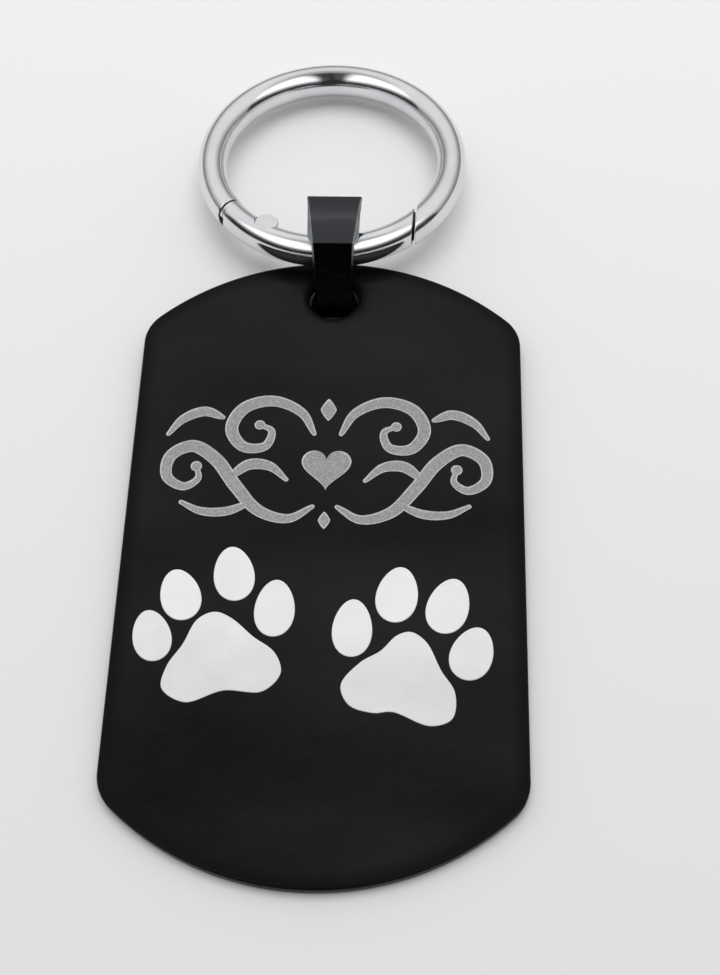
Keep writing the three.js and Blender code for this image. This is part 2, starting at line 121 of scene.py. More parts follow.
# Ring: the groove has (distance from the gate's end, depth) stops
RING_RADIUS = 9.76
TUBE_RADIAL = 2.36
TUBE_AXIAL = 2.8
RING_TILT = 6
RING_SIDE_OFFSET = -0.57
RING_CENTRE = (RING_SIDE_OFFSET, 34.189966, 1.812906)
GATE_STEP = 0.06
SEAM_ANGLE = 217
SEAM_GAP = 0.12
TIP_X = 6.5
TIP_SLOPE = 0.065
TIP_GAP = 0.25
RIM_ROUND = 0.1
EDGE_BREAK = 0.03
END_MARGIN = 0.1
GATE_GROOVE = ((0.24, 0), (0.27, 0.035), (0.31, 0.045), (0.35, 0.035), (0.38, 0))
NOSE_LENGTH = 0.2
NOSE_INSET = 0.3
CUT_FACE = 1
TUBE_SHY = 0.012
NOTCH_LENGTH = 0.45
NOTCH_INNER = 10.1
NOTCH_TOP = 0.5
NOTCH_OVERLAP_DEGREES = 2
PIN_ANGLE = 238
PIN_INSET = 0.66
PIN_RADIUS = 0.4
PIN_HEAD_RADIUS = 0.62
PIN_HEAD_RIM = 0.06
PIN_HEAD_TAPER = 0.2
PIN_CLEARANCE = 0.03
PIN_SET = 0.024
BOSS_RADIUS = 0.95
BOSS_TOP = 1
BOSS_ROUND = 0.06
CHANNEL_WIDTH = 1.24
CHANNEL_WALL = 0.75
CHANNEL_LENGTH = 2.6
CHANNEL_REACH = 4
TONGUE_LOW = -0.58
TONGUE_THICKNESS = 0.54
TONGUE_BACK_GAP = 0.1
TONGUE_HEIGHT = 1.2
TONGUE_EYE_RADIUS = 0.75
TONGUE_ROOT_HEIGHT = 0.45
TONGUE_ROOT_LENGTH = 1.3

# Bail: flanges and soles have (place, width) stops, and the painted sheen has (place, brightness) stops
BAIL_THICKNESS = 0.48
BAIL_PIVOT = (23.78332, 0.5)
TUBE_SEAT = (24.5, 2.831362)
TUBE_ROOM = 1.45
BRIDGE_ROOM = 0.82355
TOP_ROOM = 0.74
FRONT_ROOM = 0.17
BAIL_ROUNDS = (1.8, 0.25, 0.15, 0.6)
BAIL_LEAST_ROUND = 0.15
BAIL_CHAMFER = 0.13
FACET_SLOPE = 0.3
FLANGE_WIDTHS = ((0, 3.4), (0.14, 4.05), (1, 4.35))
SOLE_INNER = (
    (20.23, 2.7), (20.5, 2.85), (21.1, 3.5), (21.4, 3.7), (21.8, 3.68), (22.0, 3.63),
    (22.2, 3.54), (22.4, 3.4), (22.6, 3.23), (22.8, 3.03), (23.0, 2.78), (23.3, 1.8),
)
SOLE_OUTER = (
    (20.23, 2.7), (20.5, 2.85), (21.1, 3.5), (21.4, 3.7), (22.0, 3.69), (22.4, 3.56),
    (22.6, 3.45), (22.8, 3.33), (23.0, 3.2), (23.3, 2.95), (23.8, 1.8),
)
BAND_STEPS = 24
GLOSS_COAT = 0
PALE_FACET_COAT = 1
# Index of the coat painted near black as shade inside the loop and below the plate
SHADED_COAT = 2
FACET_FACES = (0, 6)
SIDE_FACES = (1, 5)
INNER_FACES = (2, 3, 4)
PALE_FACET_SPAN = (3.6, 5)
WAIST_WIDTH = 1.8
WAIST_LENGTH = 1
# Span and levels of the painted sheen across the bail's top face
SHEEN_SPAN = (23.3, 27.9)
PAINTED_SHEEN_LEVELS = (
    (0.0, 0.043), (0.4, 0.047), (0.52, 0.055), (0.61, 0.075), (0.7, 0.062), (0.9, 0.045), (1.0, 0.042),
)
BAIL_TINT = (1, 1.03, 1.14)
SHEEN_WANDER = 0.12
FOOT_WIDTH = 2.7
CREASE_WIDTH = 3.25
TOP_WIDTH = 4.35
FLOOR_TOLERANCE = 0.01
CREASE_TOLERANCE = 0.02


def tube_bow(width):
    """How far the ring's curved tube bows across a band of a given width."""
    return RING_RADIUS - math.sqrt(RING_RADIUS ** 2 - (width / 2 - RING_SIDE_OFFSET) ** 2)


# Each side of the bail's loop has an outward normal in degrees and a reach past a point in the YZ plane.
BAIL_SIDES = (
    (-90, BAIL_PIVOT, BRIDGE_ROOM),
    (-19, TUBE_SEAT, TUBE_ROOM + tube_bow(TOP_WIDTH)),
    (92, TUBE_SEAT, TUBE_ROOM + TOP_ROOM),
    (151, TUBE_SEAT, TUBE_ROOM + tube_bow(CREASE_WIDTH) + FRONT_ROOM),
)

# Facet counts
CORNER_STEPS = 16
END_STEPS = 64
EDGE_STEPS = 6
HOLE_STEPS = 96
TOE_STEPS = 64
PAD_STEPS = 12
STROKE_STEPS = 12
CAP_STEPS = 8
BALL_STEPS = 32
HEART_STEPS = 64
LOZENGE_STEPS = 32
RIM_STEPS = 4
TUBE_STEPS = 48
RING_STEP_DEGREES = 1.5
FILLET_STEPS = 8
STRETCH_STEPS = 12
LATHE_STEPS = 48


# Flat curves


def arc(x, y, radius, start, end, steps):
    """Points on an arc, angles in radians."""
    angles = [start + (end - start) * i / steps for i in range(steps + 1)]
    return [(x + radius * math.cos(a), y + radius * math.sin(a)) for a in angles]


def circle(x, y, radius, steps):
    return arc(x, y, radius, 0, 2 * math.pi, steps)[:-1]


def smooth_span(before, start, end, after, steps):
    """Points of a centripetal curve from start towards end."""
    knots = [before, start, end, after]
    gaps = [max(math.dist(knots[i], knots[i + 1]) ** 0.5, LEAST_KNOT_GAP) for i in range(3)]
    points = []
    for i in range(steps):
        t = i / steps
        point = []
        for k in range(2):
            x0, x1, x2, x3 = (knot[k] for knot in knots)
            leave = (x1 - x0) / gaps[0] - (x2 - x0) / (gaps[0] + gaps[1]) + (x2 - x1) / gaps[1]
            arrive = (x2 - x1) / gaps[1] - (x3 - x1) / (gaps[1] + gaps[2]) + (x3 - x2) / gaps[2]
            leave *= gaps[1]
            arrive *= gaps[1]
            square = 3 * (x2 - x1) - 2 * leave - arrive
            cube = 2 * (x1 - x2) + leave + arrive
            point.append(x1 + t * (leave + t * (square + t * cube)))
        points.append(tuple(point))
    return points


def smooth_loop(points, steps):
    count = len(points)
    spans = [[points[(i + k - 1) % count] for k in range(4)] for i in range(count)]
    return [p for span in spans for p in smooth_span(*span, steps)]


def smooth_line(points, steps):
    first = tuple(2 * a - b for a, b in zip(points[0], points[1]))
    last = tuple(2 * a - b for a, b in zip(points[-1], points[-2]))
    ends = [first, *points, last]
    spans = [ends[i:i + 4] for i in range(len(points) - 1)]
    return [p for span in spans for p in smooth_span(*span, steps)] + [points[-1]]


def counter_clockwise(loop):
    area = sum(a[0] * b[1] - b[0] * a[1] for a, b in zip(loop, loop[1:] + loop[:1]))
    return loop if area > 0 else loop[::-1]


def inset_loop(loop, distance):
    """A counter-clockwise loop drawn in by a distance."""
    count = len(loop)
    result = []
    for i, (x, y) in enumerate(loop):
        ahead, behind = loop[(i + 1) % count], loop[i - 1]
        tangent = Vector((ahead[0] - behind[0], ahead[1] - behind[1])).normalized()
        result.append((x - tangent.y * distance, y + tangent.x * distance))
    return result


# Meshes


def add_loop(bm, points):
    return [bm.verts.new(p) for p in points]


def at_height(loop, z):
    return [(x, y, z) for x, y in loop]


def bridge(bm, low, high, material=0):
    """Quads between two closed loops of equal length."""
    count = len(low)
    for i in range(count):
        face = bm.faces.new((low[i], low[(i + 1) % count], high[(i + 1) % count], high[i]))
        face.material_index = material


def stack(bm, loops):
    """Walls through a list of loops of points. Returns the first and the last loop's vertices."""
    rows = [add_loop(bm, loop) for loop in loops]
    for low, high in zip(rows, rows[1:]):
        bridge(bm, low, high)
    return rows[0], rows[-1]


def closed_stack(bm, loops):
    first, last = stack(bm, loops)
    bm.faces.new(first[::-1])
    bm.faces.new(last)


def new_object(name, bm, materials, transform=None):
    """An object in millimetres from a bmesh."""
    bmesh.ops.remove_doubles(bm, verts=bm.verts, dist=MERGE_DISTANCE)
    bmesh.ops.recalc_face_normals(bm, faces=bm.faces)
    if transform:
        bm.transform(transform)
    mesh = bpy.data.meshes.new(name)
    bm.to_mesh(mesh)
    bm.free()
    for material in materials:
        mesh.materials.append(material)
    obj = bpy.data.objects.new(name, mesh)
    bpy.context.scene.collection.objects.link(obj)
    return obj


def combine(obj, tool, operation):
    """Joins a tool to an object, or cuts it away, and removes the tool."""
    modifier = obj.modifiers.new("combine", "BOOLEAN")
    modifier.operation = operation
    modifier.object = tool
    modifier.solver = "EXACT"
    graph = bpy.context.evaluated_depsgraph_get()
    mesh = bpy.data.meshes.new_from_object(obj.evaluated_get(graph))
    obj.modifiers.clear()
    obj.data = mesh
    bpy.data.objects.remove(tool)


def finish_piece(obj, node, body, transform=None, smooth_degrees=32):
    """Turns a piece to metres, smooths its shading and lets it stand for its node."""
    if transform:
        obj.data.transform(transform)
    obj.data.transform(Matrix.Scale(MM, 4))
    obj.data.polygons.foreach_set("use_smooth", [True] * len(obj.data.polygons))
    obj.data.set_sharp_from_angle(angle=math.radians(smooth_degrees))
    obj.data.update()
    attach(obj, body)
    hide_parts(node)
    return obj


# Materials

NOISE_LOW = 0.3
NOISE_HIGH = 0.7


def new_material(name, roughness, metallic, specular=0.5):
    material = bpy.data.materials.new(name)
    material.use_nodes = True
    shader = material.node_tree.nodes["Principled BSDF"]
    shader.inputs["Roughness"].default_value = roughness
    shader.inputs["Metallic"].default_value = metallic
    shader.inputs["Specular IOR Level"].default_value = specular
    return material, material.node_tree, shader


def noise(tree, grain, detail=2.0, stretch=(1, 1, 1)):
    """Noise whose grains are about that many millimetres across."""
    coordinates = tree.nodes.new("ShaderNodeTexCoord")
    mapping = tree.nodes.new("ShaderNodeMapping")
    mapping.inputs["Scale"].default_value = stretch
    texture = tree.nodes.new("ShaderNodeTexNoise")
    texture.inputs["Scale"].default_value = 1 / (grain * MM)
    texture.inputs["Detail"].default_value = detail
    tree.links.new(coordinates.outputs["Object"], mapping.inputs["Vector"])
    tree.links.new(mapping.outputs["Vector"], texture.inputs["Vector"])
    return texture.outputs["Fac"]


def ramp(tree, value, *stops):
    """A colour ramp through (place, colour) stops."""
    node = tree.nodes.new("ShaderNodeValToRGB")
    elements = node.color_ramp.elements
    while len(elements) < len(stops):
        elements.new(1)
    for element, (place, colour) in zip(elements, stops):
        element.position = place
        element.color = (*colour, 1)
    tree.links.new(value, node.inputs["Fac"])
    return node.outputs["Color"]


def grey_ramp(tree, value, levels):
    return ramp(tree, value, *[(place, grey(level)) for place, level in levels])


def soft_step(tree, value, start, end):
    node = tree.nodes.new("ShaderNodeMapRange")
    node.interpolation_type = "SMOOTHSTEP"
    node.inputs["From Min"].default_value = start
    node.inputs["From Max"].default_value = end
    tree.links.new(value, node.inputs["Value"])
    return node.outputs["Result"]


def blend_colours(tree, share, first, second):
    """A mix of two colours, which are the mix's inputs 6 and 7 and its output 2."""
    node = tree.nodes.new("ShaderNodeMix")
    node.data_type = "RGBA"
    tree.links.new(share, node.inputs[0])
    tree.links.new(first, node.inputs[6])
    tree.links.new(second, node.inputs[7])
    return node.outputs[2]


def calculate(tree, operation, first, second=None):
    """Arithmetic on a socket, with a number or another socket where it takes two."""
    node = tree.nodes.new("ShaderNodeMath")
    node.operation = operation
    tree.links.new(first, node.inputs[0])
    if isinstance(second, bpy.types.NodeSocket):
        tree.links.new(second, node.inputs[1])
    elif second is not None:
        node.inputs[1].default_value = second
    return node.outputs[0]


def object_place(tree, axis):
    """A point's place along one of its object's axes."""
    parts = tree.nodes.new("ShaderNodeSeparateXYZ")
    tree.links.new(tree.nodes.new("ShaderNodeTexCoord").outputs["Object"], parts.inputs[0])
    return parts.outputs[axis]


def share_along(tree, axis, span):
    """How far a point is along a span of one of its object's axes, from 0 to 1."""
    start, end = span
    return soft_step(tree, object_place(tree, axis), start * MM, end * MM)


def paint(tree, shader, colour):
    tree.links.new(colour, shader.inputs["Base Color"])


def two_tone(tree, value, dark, light):
    """A ramp between two colours over the span that noise mostly takes."""
    return ramp(tree, value, (NOISE_LOW, dark), (NOISE_HIGH, light))


def roughness_from(tree, value, low, high):
    node = tree.nodes.new("ShaderNodeMapRange")
    node.inputs["From Min"].default_value = NOISE_LOW
    node.inputs["From Max"].default_value = NOISE_HIGH
    node.inputs["To Min"].default_value = low
    node.inputs["To Max"].default_value = high
    tree.links.new(value, node.inputs["Value"])
    return node.outputs["Result"]


def vary_roughness(tree, shader, value, low, high):
    tree.links.new(roughness_from(tree, value, low, high), shader.inputs["Roughness"])


def add_bump(tree, shader, value, height, strength):
    """Bumps of a height in millimetres."""
    node = tree.nodes.new("ShaderNodeBump")
    node.inputs["Strength"].default_value = strength
    node.inputs["Distance"].default_value = height * MM
    tree.links.new(value, node.inputs["Height"])
    tree.links.new(node.outputs["Normal"], shader.inputs["Normal"])


def grey(level, cool=0.0):
    return (level, level * (1 + cool / 2), level * (1 + cool))


def hypotenuse(tree, *legs):
    squares = [calculate(tree, "MULTIPLY", leg, leg) for leg in legs]
    return calculate(tree, "SQRT", calculate(tree, "ADD", *squares))


def painted_shade_mask(tree):
    """A mask for painted shade: 0 well away from the plate's outline and its hole, and 1 at their edges.
    """
    place = object_place(tree, "Y")
    across = calculate(tree, "ABSOLUTE", object_place(tree, "X"))
    along = calculate(tree, "ABSOLUTE", place)
    past_middle = calculate(tree, "SUBTRACT", along, (PLATE_LENGTH / 2 - PLATE_END_RADIUS) * MM)
    past_hole = calculate(tree, "SUBTRACT", place, HOLE_Y * MM)
    edges = (
        (across, PLATE_WIDTH / 2, -EDGE_SHADE_WIDTH),
        (hypotenuse(tree, across, past_middle), PLATE_END_RADIUS, -EDGE_SHADE_WIDTH),
        (hypotenuse(tree, across, past_hole), HOLE_RADIUS + PLATE_EDGE_ROUND, HOLE_SHADE_WIDTH),
    )
    side, end, hole = (
        soft_step(tree, reach, (edge + width) * MM, edge * MM)
        for reach, edge, width in edges
    )
    return calculate(tree, "MAXIMUM", calculate(tree, "MAXIMUM", side, end), hole)


def coated_steel():
    """A satin coat with slow level clouds, with painted shade that darkens it along the plate's outline
    and around its hole, where it is also duller.
    """
    material, tree, shader = new_material("black coat", roughness=0.3, metallic=0, specular=0.125)
    grain = calculate(tree, "MULTIPLY", noise(tree, 0.22, 3, (0.4, 1, 1)), COAT_GRAIN)
    cloud = calculate(tree, "ADD", noise(tree, 12, 3, (0.4, 1, 1)), grain)
    face = ramp(tree, cloud, (0.38, grey(0.0016, 0.06)), (0.82, grey(0.0135, 0.06)))
    # rim is the coat darkened by painted shade, used along the outline and around the hole
    rim = ramp(tree, cloud, (0.38, grey(0.0004, 0.06)), (0.82, grey(0.0014, 0.06)))
    edge_shade = painted_shade_mask(tree)
    paint(tree, shader, blend_colours(tree, edge_shade, face, rim))
    satin = roughness_from(tree, noise(tree, 4, 4), 0.15, 0.21)
    dulling = calculate(tree, "MULTIPLY", edge_shade, BORDER_DULLING)
    tree.links.new(calculate(tree, "ADD", satin, dulling), shader.inputs["Roughness"])
    add_bump(tree, shader, noise(tree, 0.12, 2), height=0.01, strength=0.06)
    return material


def engraved_floor():
    """Steel left matt and silvery by the engraving, with a fine grain and slow clouds."""
    material, tree, shader = new_material("engraved steel", roughness=0.55, metallic=0.25, specular=0.4)
    grain = noise(tree, 0.11, 6)
    silver = ramp(tree, grain, (0.3, grey(0.23, 0.04)), (0.5, grey(0.34, 0.03)), (0.7, grey(0.47)))
    paint(tree, shader, silver)
    vary_roughness(tree, shader, noise(tree, 0.9, 3), 0.45, 0.65)
    add_bump(tree, shader, grain, height=0.04, strength=0.4)
    return material


def engraved_rim():
    """The sloped wall of the engraving, cut brighter than its floor."""
    material, tree, shader = new_material("engraved rim", roughness=0.35, metallic=0.15, specular=0.5)
    paint(tree, shader, two_tone(tree, noise(tree, 0.3, 3), grey(0.6), grey(0.82)))
    vary_roughness(tree, shader, noise(tree, 0.2, 2), 0.3, 0.45)
    return material


def white_enamel():
    """Satin enamel, with painted shade that makes it a little greyer towards the plate's lower end."""
    material, tree, shader = new_material("white enamel", roughness=0.42, metallic=0, specular=0.35)
    mottle = noise(tree, 2.4, 4)
    # lower is the enamel greyed by painted shade towards the plate's lower end
    lower = two_tone(tree, mottle, (0.7, 0.7, 0.695), (0.77, 0.77, 0.765))
    upper = two_tone(tree, mottle, (0.83, 0.83, 0.825), (0.9, 0.9, 0.895))
    place = share_along(tree, "Y", ENAMEL_SHADE_SPAN)
    paint(tree, shader, blend_colours(tree, place, lower, upper))
    vary_roughness(tree, shader, noise(tree, 0.8, 3), 0.36, 0.5)
    add_bump(tree, shader, noise(tree, 0.35, 3), height=0.012, strength=0.2)
    return material


def black_bail():
    """A gloss coat, with a paler streak of painted sheen across the bail's top face, standing in for a
    reflection.
    """
    material, tree, shader = new_material("blue-black gloss", roughness=0.1, metallic=1)
    drawn = noise(tree, 0.5, 4, (0.25, 2.5, 1))
    wander = calculate(tree, "MULTIPLY", noise(tree, 1.2, 3), SHEEN_WANDER)
    place = calculate(tree, "ADD", share_along(tree, "Y", SHEEN_SPAN), wander)
    # the stops paint a sheen across the top face that stands in for a reflection
    stops = [(share, tuple(level * t for t in BAIL_TINT)) for share, level in PAINTED_SHEEN_LEVELS]
    paint(tree, shader, ramp(tree, place, *stops))
    vary_roughness(tree, shader, drawn, 0.08, 0.13)
    add_bump(tree, shader, noise(tree, 0.2, 2), height=0.01, strength=0.05)
    return material


def chrome():
    material, tree, shader = new_material("chrome", roughness=0.06, metallic=1)
    cloud = noise(tree, 3, 3)
    paint(tree, shader, two_tone(tree, cloud, (0.69, 0.70, 0.72), (0.78, 0.785, 0.795)))
    vary_roughness(tree, shader, noise(tree, 1.2, 4), 0.09, 0.17)
    add_bump(tree, shader, noise(tree, 2.2, 1), height=0.02, strength=0.35)
    return material


def cut_metal_seam_shade():
    """The bare, dull metal of a sawn face, painted dark to stand in for the shade in the ring's narrow
    seams.
    """
    material, tree, shader = new_material("cut metal with seam shade", roughness=0.5, metallic=1)
    grain = noise(tree, 0.08, 3)
    # the dark base colour is painted shade for the seams
    paint(tree, shader, two_tone(tree, grain, (0.06, 0.058, 0.054), (0.12, 0.116, 0.11)))
    vary_roughness(tree, shader, grain, 0.4, 0.6)
    return material


def pale_facet_coat():
    """The bail's coat on its edge facets above the plate, paler towards the top."""
    material, tree, shader = new_material("pale facet coat", roughness=0.24, metallic=1)
    drawn = noise(tree, 0.4, 4, (1, 0.3, 0.3))
    whole = two_tone(tree, drawn, (0.008, 0.0085, 0.011), (0.014, 0.015, 0.018))
    paler = two_tone(tree, drawn, (0.16, 0.17, 0.18), (0.26, 0.275, 0.29))
    pale_share = share_along(tree, "Z", PALE_FACET_SPAN)
    paint(tree, shader, blend_colours(tree, pale_share, whole, paler))
    vary_roughness(tree, shader, drawn, 0.18, 0.32)
    return material


def painted_shade_coat():
    """A matt coat inside the bail's loop and on its sides below the plate, painted near black as shade.
    """
    material, tree, shader = new_material("shaded inner coat", roughness=0.5, metallic=0, specular=0.06)
    speckle = noise(tree, 0.3, 4)
    paint(tree, shader, two_tone(tree, speckle, grey(0.002, 0.06), grey(0.0045, 0.06)))
    vary_roughness(tree, shader, speckle, 0.42, 0.6)
    return material


def spring_steel():
    material, tree, shader = new_material("spring wire", roughness=0.35, metallic=1)
    drawn = noise(tree, 0.1, 3, (1, 1, 6))
    paint(tree, shader, two_tone(tree, drawn, grey(0.32, 0.05), grey(0.5, 0.05)))
    vary_roughness(tree, shader, drawn, 0.28, 0.45)
    return material


# Plate


def plate_loop(inset):
    end_y = PLATE_LENGTH / 2 - PLATE_END_RADIUS
    corner_x = PLATE_WIDTH / 2 - PLATE_CORNER_RADIUS
    rise = math.sqrt((PLATE_END_RADIUS - PLATE_CORNER_RADIUS) ** 2 - corner_x ** 2)
    meet = math.atan2(rise, corner_x)
    quarter = arc(corner_x, end_y + rise, PLATE_CORNER_RADIUS - inset, 0, meet, CORNER_STEPS)
    end = arc(0, end_y, PLATE_END_RADIUS - inset, meet, math.pi - meet, END_STEPS)[1:-1]
    upper = quarter + end + [(-x, y) for x, y in quarter[::-1]]
    return upper + [(-x, -y) for x, y in upper]


def hole_loop(inset):
    return circle(0, HOLE_Y, HOLE_RADIUS + inset, HOLE_STEPS)


def edge_profile():
    """(inset, height) from the back face's rim round the edge to the front face's rim."""
    angles = [math.pi / 2 * i / EDGE_STEPS for i in range(EDGE_STEPS + 1)]
    r = PLATE_EDGE_ROUND
    lower = [(r * (1 - math.sin(a)), r * (1 - math.cos(a))) for a in angles]
    return lower + [(inset, PLATE_THICKNESS - z) for inset, z in lower[::-1]]


def toe_loop(toe):
    (x, y), width, length, lean = toe
    turn = math.radians(lean)
    loop = []
    for i in range(TOE_STEPS):
        a = 2 * math.pi * i / TOE_STEPS
        across = width / 2 * math.cos(a) * (1 - TOE_TAPER * math.sin(a))
        along = length / 2 * math.sin(a)
        loop.append((
            x + across * math.cos(turn) - along * math.sin(turn),
            y + across * math.sin(turn) + along * math.cos(turn),
        ))
    return counter_clockwise(loop)


def print_loops():
    """The outline of each enamel print's pocket, by node name."""
    loops = {}
    for paw in PADS:
        loops[paw + "_pad"] = counter_clockwise(smooth_loop(PADS[paw], PAD_STEPS))
        for i, toe in enumerate(TOES[paw]):
            loops[f"{paw}_toe_{i + 1}"] = toe_loop(toe)
    return loops


# Engraved flourish


def stroke_loop(points, swell, inset):
    """The outline of a stroke that swells in its middle and tapers to round ends."""
    line = smooth_line(points, STROKE_STEPS)
    count = len(line) - 1
    left, right = [], []
    for i, (x, y) in enumerate(line):
        ahead, behind = line[min(i + 1, count)], line[max(i - 1, 0)]
        turn = math.atan2(ahead[1] - behind[1], ahead[0] - behind[0])
        share = math.sin(math.pi * (i / count) ** STROKE_SKEW)
        half = max(STROKE_TIP + (swell - STROKE_TIP) * share - inset, STROKE_LEAST)
        if i in (0, count):
            first = turn + math.pi / 2 if i == 0 else turn - math.pi / 2
            right += arc(x, y, half, first, first + math.pi, CAP_STEPS)
        else:
            left.append((x - half * math.sin(turn), y + half * math.cos(turn)))
            right.append((x + half * math.sin(turn), y - half * math.cos(turn)))
    return counter_clockwise(right + left[::-1])


def heart_loop(inset):
    """The common heart curve, shrunk towards its centre by about a distance."""
    loop = []
    for i in range(HEART_STEPS):
        t = 2 * math.pi * i / HEART_STEPS
        x = 16 * math.sin(t) ** 3
        y = 13 * math.cos(t) - 5 * math.cos(2 * t) - 2 * math.cos(3 * t) - math.cos(4 * t)
        loop.append((HEART_CENTRE[0] + HEART_SIZE * x, HEART_CENTRE[1] + HEART_SIZE * y))
    middle = Vector(HEART_CENTRE)
    share = 1 - inset / (HEART_REACH * HEART_SIZE)
    return counter_clockwise([tuple(middle + (Vector(p) - middle) * share) for p in loop])


def lozenge_loop(centre, half_width, half_height, inset):
    share = 1 - inset / half_width
    loop = []
    for i in range(LOZENGE_STEPS):
        a = 2 * math.pi * i / LOZENGE_STEPS
        c, s = math.cos(a), math.sin(a)
        loop.append((
            centre[0] + share * half_width * math.copysign(abs(c) ** LOZENGE_POWER, c),
            centre[1] + share * half_height * math.copysign(abs(s) ** LOZENGE_POWER, s),
        ))
    return loop


def flourish_loops(inset):
    loops = [heart_loop(inset)]
    loops += [lozenge_loop(*lozenge, inset) for lozenge in LOZENGES]
    for points, swell, ball in STROKES:
        for side in (1, -1):
            mirrored = [(side * x, y) for x, y in points]
            loops.append(stroke_loop(mirrored, swell, inset))
            if ball:
                loops.append(circle(*mirrored[-1], ball - inset, BALL_STEPS))
    return loops


def cut_front(bm, prints):
    """The plate's front face, with open pockets for the enamel and the sunk flourish."""
    outer = flourish_loops(0)
    inner = flourish_loops(CUT_RIM)
    rims = [plate_loop(PLATE_EDGE_ROUND), hole_loop(PLATE_EDGE_ROUND)]
    loops = [*rims, *prints, *outer, *inner]
    open_end = len(rims) + len(prints)
    outer_end = open_end + len(outer)
    points, faces = [], []
    for loop in loops:
        faces.append(list(range(len(points), len(points) + len(loop))))
        points += [Vector(p) for p in loop]
    verts, _, triangles, _, _, owners = delaunay_2d_cdt(points, [], faces, 0, MERGE_DISTANCE)
    kept = []
    sunk, flat = set(), set()
    for triangle, held_by in zip(triangles, owners):
        if 0 not in held_by or any(0 < k < open_end for k in held_by):
            continue
        if any(k >= outer_end for k in held_by):
            level = CUT_FLOOR
            sunk.update(triangle)
        elif len(held_by) > 1:
            level = CUT_WALL
        else:
            level = FACE_COAT
            flat.update(triangle)
        kept.append((triangle, level))
    corners = []
    for i, (x, y) in enumerate(verts):
        drop = 0 if i in flat else CUT_DEPTH if i in sunk else CUT_DEPTH / 2
        corners.append(bm.verts.new((x, y, PLATE_THICKNESS - drop)))
    for triangle, level in kept:
        face = bm.faces.new([corners[i] for i in triangle])
        face.material_index = level
    bmesh.ops.delete(bm, geom=[v for v in corners if not v.link_faces], context="VERTS")


def plate_piece(prints, materials):
    bm = bmesh.new()
    profile = edge_profile()
    stack(bm, [at_height(plate_loop(inset), z) for inset, z in profile])
    stack(bm, [at_height(hole_loop(inset), z) for inset, z in profile])
    cut_front(bm, prints)
    back = [plate_loop(PLATE_EDGE_ROUND), hole_loop(PLATE_EDGE_ROUND)]
    points = [Vector(p) for loop in back for p in loop]
    rim = list(range(len(back[0])))
    hole = list(range(len(back[0]), len(points)))
    verts, _, triangles, _, _, owners = delaunay_2d_cdt(points, [], [rim, hole], 0, MERGE_DISTANCE)
    corners = add_loop(bm, [(x, y, 0) for x, y in verts])
    for triangle, held_by in zip(triangles, owners):
        if held_by == [0]:
            bm.faces.new([corners[i] for i in triangle])
    for loop in prints:
        floor = PLATE_THICKNESS - ENAMEL_DEPTH
        first, _ = stack(bm, [at_height(loop, floor), at_height(loop, PLATE_THICKNESS)])
        bm.faces.new(first)
    plate = new_object("tag_plate_smooth", bm, materials)
    return finish_piece(plate, "tag_plate", "plate", smooth_degrees=20)


def enamel_piece(name, loop, material):
    """A filling with a rounded rim and a slightly dished face."""
    bm = bmesh.new()
    top = PLATE_THICKNESS
    steps = [(ENAMEL_GAP, top - ENAMEL_DEPTH + ENAMEL_GAP)]
    for i in range(RIM_STEPS + 1):
        a = math.pi / 2 * i / RIM_STEPS
        steps.append((ENAMEL_GAP + ENAMEL_RIM * (1 - math.cos(a)), top - ENAMEL_RIM * (1 - math.sin(a))))
    steps.append((ENAMEL_GAP + DISH_HALFWAY, top - ENAMEL_DISH / 2))
    steps.append((ENAMEL_GAP + DISH_FULL, top - ENAMEL_DISH))
    closed_stack(bm, [at_height(inset_loop(loop, inset), z) for inset, z in steps])
    piece = new_object(name + "_smooth", bm, [material])
    return finish_piece(piece, name, "plate", smooth_degrees=50)


# Bail


def side_corners(grow):
    """Where each side of the bail's loop meets the next, drawn out by a distance."""
    lines = []
    for degrees, (y, z), reach in BAIL_SIDES:
        a = math.radians(degrees)
        normal = Vector((math.cos(a), math.sin(a)))
        lines.append((normal, normal.dot(Vector((y, z))) + reach + grow))
    corners = []
    for (n, reach), (m, next_reach) in zip(lines, lines[1:] + lines[:1]):
        cross = n.x * m.y - n.y * m.x
        corners.append(Vector((
            (reach * m.y - next_reach * n.y) / cross,
            (n.x * next_reach - m.x * reach) / cross,
        )))
    return corners


def corner_arcs(corners, radii):
    """An arc of points for each corner of a polygon."""
    arcs = []
    for i, (corner, radius) in enumerate(zip(corners, radii)):
        before = (corners[i - 1] - corner).normalized()
        after = (corners[(i + 1) % len(corners)] - corner).normalized()
        half = math.acos(max(-1, min(1, before.dot(after)))) / 2
        centre = corner + (before + after).normalized() * (radius / math.sin(half))
        start = corner + before * (radius / math.tan(half)) - centre
        end = corner + after * (radius / math.tan(half)) - centre
        first = math.atan2(start.y, start.x)
        sweep = math.atan2(start.x * end.y - start.y * end.x, start.dot(end))
        arcs.append([Vector(p) for p in arc(*centre, radius, first, first + sweep, FILLET_STEPS)])
    return arcs


def taper(place, stops):
    """The width at a place, from (place, width) stops in rising order."""
    if place <= stops[0][0]:
        return stops[0][1]
    for (a, low), (b, high) in zip(stops, stops[1:]):
        if place <= b:
            return low + (high - low) * (place - a) / (b - a)
    return stops[-1][1]


def bail_width(point, outer, inner, sole):
    """The band's width at a point of its loop."""
    heel, top, crease, toe = outer
    inner_heel, _, _, inner_toe = inner
    floor = inner_toe.y
    legs = ((toe.x, FOOT_WIDTH), (inner_toe.x, FOOT_WIDTH), (crease.x, CREASE_WIDTH), (top.x, TOP_WIDTH))
    foot = (
        *sole,
        (BAIL_PIVOT[0] + WAIST_LENGTH / 2, WAIST_WIDTH),
        (inner_heel.x, FOOT_WIDTH),
        (heel.x, FOOT_WIDTH),
    )
    behind = ((floor, FOOT_WIDTH), (top.y, TOP_WIDTH))
    if point.y < floor + FLOOR_TOLERANCE:
        return taper(point.x, foot)
    return min(taper(point.x, legs), taper(point.y, behind))


